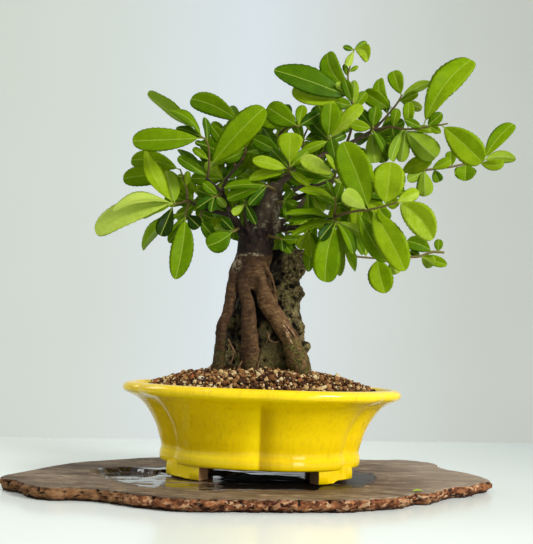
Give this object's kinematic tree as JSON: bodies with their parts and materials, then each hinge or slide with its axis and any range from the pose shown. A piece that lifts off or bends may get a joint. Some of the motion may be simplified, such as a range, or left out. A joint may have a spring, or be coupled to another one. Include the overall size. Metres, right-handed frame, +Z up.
{
  "type": "firethorn bonsai",
  "caption": "Firethorn bonsai with roots grown over a pitted rock, in a yellow glazed lobed oval pot with feet, on a live-edge slice of wood.",
  "frame": {"origin": "on the surface that the slab rests on, under the middle of the pot", "axes": "+Z up; +X to the right and +Y away, seen from the front of the tree"},
  "size_m": [0.4314, 0.278, 0.3953],
  "materials": {
    "slab_wood": "oiled, damp by the pot",
    "glaze": "glossy, crackled",
    "screen": "moulded mesh",
    "wire": "satin",
    "soil": "damp baked-clay grit",
    "rock": "pitted, with moss",
    "bark": "rough bark",
    "leaf": "leathery, semi-gloss"
  },
  "bodies": {
    "root": {"display_slab": "slab_wood", "pot": "glaze", "drain_screen_left": "screen", "drain_screen_right": "screen", "screen_clip_left": "wire", "screen_clip_right": "wire", "soil_bed": "soil", "rock": "rock", "trunk": "bark", "shoot_back_1": "leaf", "shoot_back_10": "leaf", "shoot_back_11": "leaf", "shoot_back_12": "leaf", "shoot_back_13": "leaf", "shoot_back_14": "leaf", "shoot_back_15": "leaf", "shoot_back_16": "leaf", "shoot_back_17": "leaf", "shoot_back_18": "leaf", "shoot_back_19": "leaf", "shoot_back_2": "leaf", "shoot_back_20": "leaf", "shoot_back_21": "leaf", "shoot_back_22": "leaf", "shoot_back_3": "leaf", "shoot_back_4": "leaf", "shoot_back_5": "leaf", "shoot_back_6": "leaf", "shoot_back_7": "leaf", "shoot_back_8": "leaf", "shoot_back_9": "leaf", "shoot_bole_top": "leaf", "shoot_centre_dark": "leaf", "shoot_centre_left": "leaf", "shoot_centre_right": "leaf", "shoot_centre_small": "leaf", "shoot_centre_young": "leaf", "shoot_far_right": "leaf", "shoot_hub_down": "leaf", "shoot_hub_up": "leaf", "shoot_left_crown": "leaf", "shoot_left_fork": "leaf", "shoot_left_hanging": "leaf", "shoot_left_long": "leaf", "shoot_left_top": "leaf", "shoot_left_under": "leaf", "shoot_low_centre": "leaf", "shoot_low_right": "leaf", "shoot_middle_bright": "leaf", "shoot_right_fan": "leaf", "shoot_right_inner": "leaf", "shoot_right_tower": "leaf", "shoot_spur": "leaf", "shoot_top": "leaf", "shoot_top_folded": "leaf", "shoot_trunk_high": "leaf", "shoot_trunk_left": "leaf", "shoot_trunk_right": "leaf", "shoot_upper_right": "leaf"}
  },
  "joints": []
}
